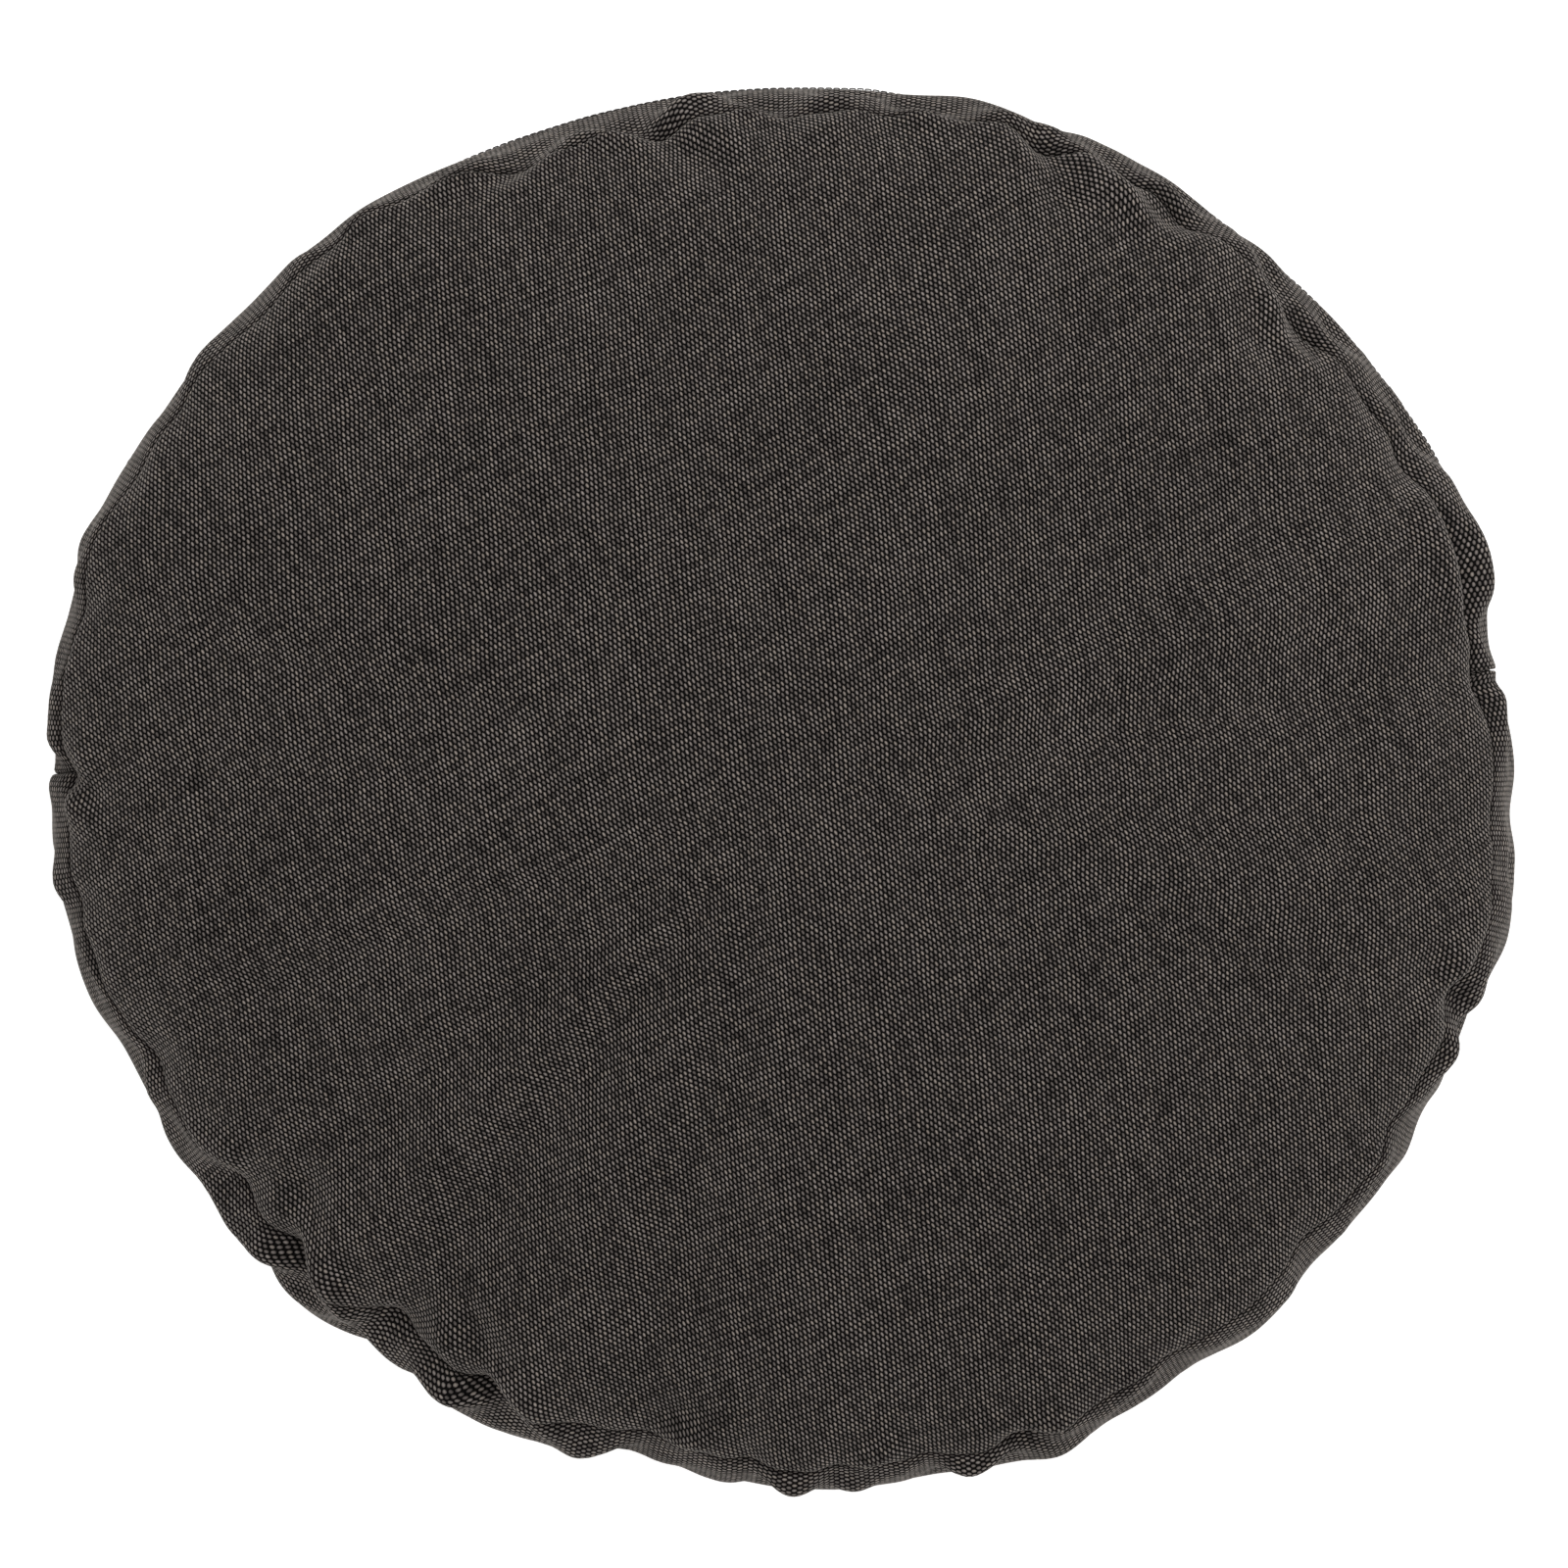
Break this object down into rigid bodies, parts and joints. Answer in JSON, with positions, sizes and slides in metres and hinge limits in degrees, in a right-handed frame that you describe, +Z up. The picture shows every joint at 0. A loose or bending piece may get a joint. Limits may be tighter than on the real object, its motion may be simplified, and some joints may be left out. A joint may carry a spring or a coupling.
{
  "type": "floor cushion",
  "caption": "Round boxed floor cushion: dark canvas cover with a wrinkled side band and a zip round the back, over a lined, fibre-filled pad.",
  "frame": {"origin": "on the floor, under the middle of the cushion", "axes": "+X along the longer diameter, +Y towards the zip at the back, +Z up"},
  "size_m": [0.6, 0.5677, 0.146],
  "materials": {
    "canvas": "dark warm grey heavy canvas, matt, with slubs",
    "thread": "dark grey sewing thread",
    "zip_tape": "black-grey woven polyester tape",
    "zip_teeth": "black-grey nylon coil",
    "zip_metal": "gunmetal-plated zinc",
    "lining": "off-white non-woven lining",
    "fibre": "white hollow polyester fibre"
  },
  "bodies": {
    "cushion": {"cover_top_panel": "canvas", "cover_bottom_panel": "canvas", "side_band": "canvas", "zip_strip_upper": "canvas", "zip_strip_lower": "canvas", "upper_seam_overlock": "thread", "lower_seam_overlock": "thread", "right_join_overlock": "thread", "left_join_overlock": "thread", "bar_tack_right": "thread", "bar_tack_left": "thread", "zip_tape_upper": "zip_tape", "zip_tape_lower": "zip_tape", "zip_teeth_upper": "zip_teeth", "zip_teeth_lower": "zip_teeth", "zip_top_stop_upper": "zip_metal", "zip_top_stop_lower": "zip_metal", "zip_bottom_stop": "zip_metal", "liner_top": "lining", "liner_bottom": "lining", "liner_band": "lining", "fibre_fill": "fibre"},
    "slider": {"zip_slider": "zip_metal"},
    "pull": {"zip_pull": "zip_metal"}
  },
  "joints": [
    {"name": "slider_travel", "type": "hinge", "parent": "cushion", "child": "slider", "pos_m": [0, -0.01997, 0.057], "axis": [0, 0, 1], "range_deg": [0, 108]},
    {"name": "pull_flip", "type": "hinge", "parent": "slider", "child": "pull", "pos_m": [0.24722, 0.15826, 0.057], "axis": [0, 0, -1], "range_deg": [0, 165]}
  ]
}
